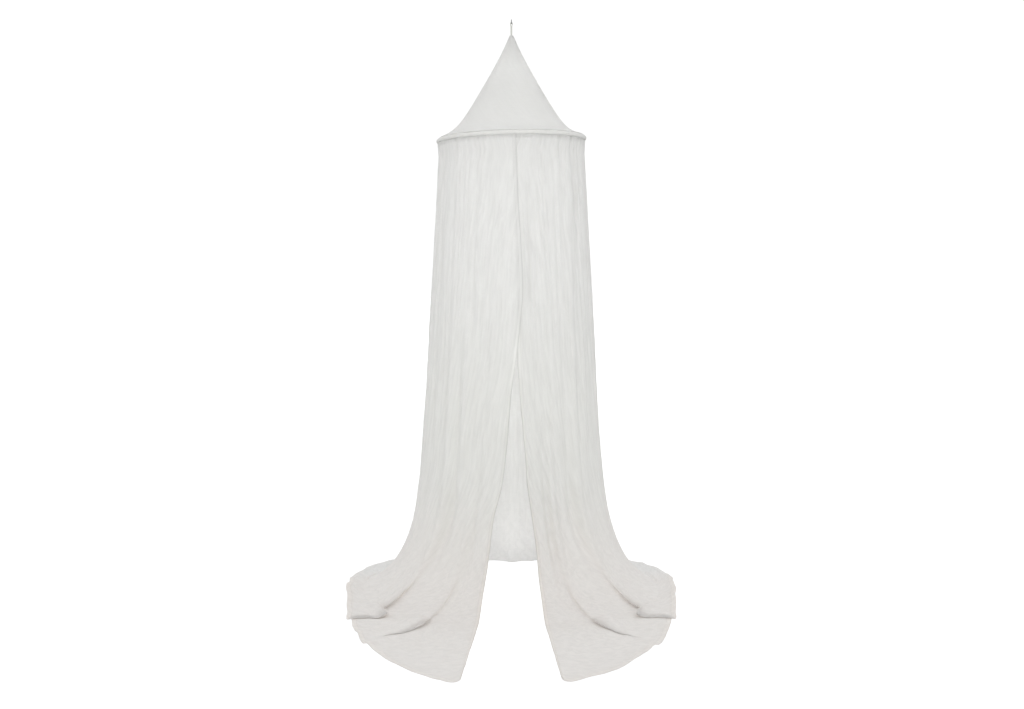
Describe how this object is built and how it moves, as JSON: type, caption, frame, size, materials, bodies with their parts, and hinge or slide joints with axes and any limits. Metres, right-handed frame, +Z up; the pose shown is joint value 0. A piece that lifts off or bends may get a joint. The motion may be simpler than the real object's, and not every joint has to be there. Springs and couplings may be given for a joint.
{
  "type": "mosquito net canopy on a hanging hoop",
  "caption": "Bed canopy of plain cloth: a taut cone over one cloth-covered hoop, and a long drape, open in front, that spreads over the floor in laid folds. Hangs from a small ring.",
  "frame": {"origin": "inner top of the hanging ring, where the ceiling hook bears", "axes": "+Z up, -Y towards the open front, +X to the right as seen from the front"},
  "size_m": [1.141, 1.2457, 1.917],
  "materials": {
    "ring_steel": "dull drawn steel wire",
    "loop_cord": "matt braided cotton cord",
    "net_cloth": "matt, fine crinkled off-white cotton",
    "hoop_rod": "satin white"
  },
  "bodies": {
    "root": {"hanging_ring": "ring_steel", "hanging_loop": "loop_cord", "crown": "net_cloth", "hoop": "hoop_rod", "hoop_casing": "net_cloth", "drape": "net_cloth"}
  },
  "joints": []
}
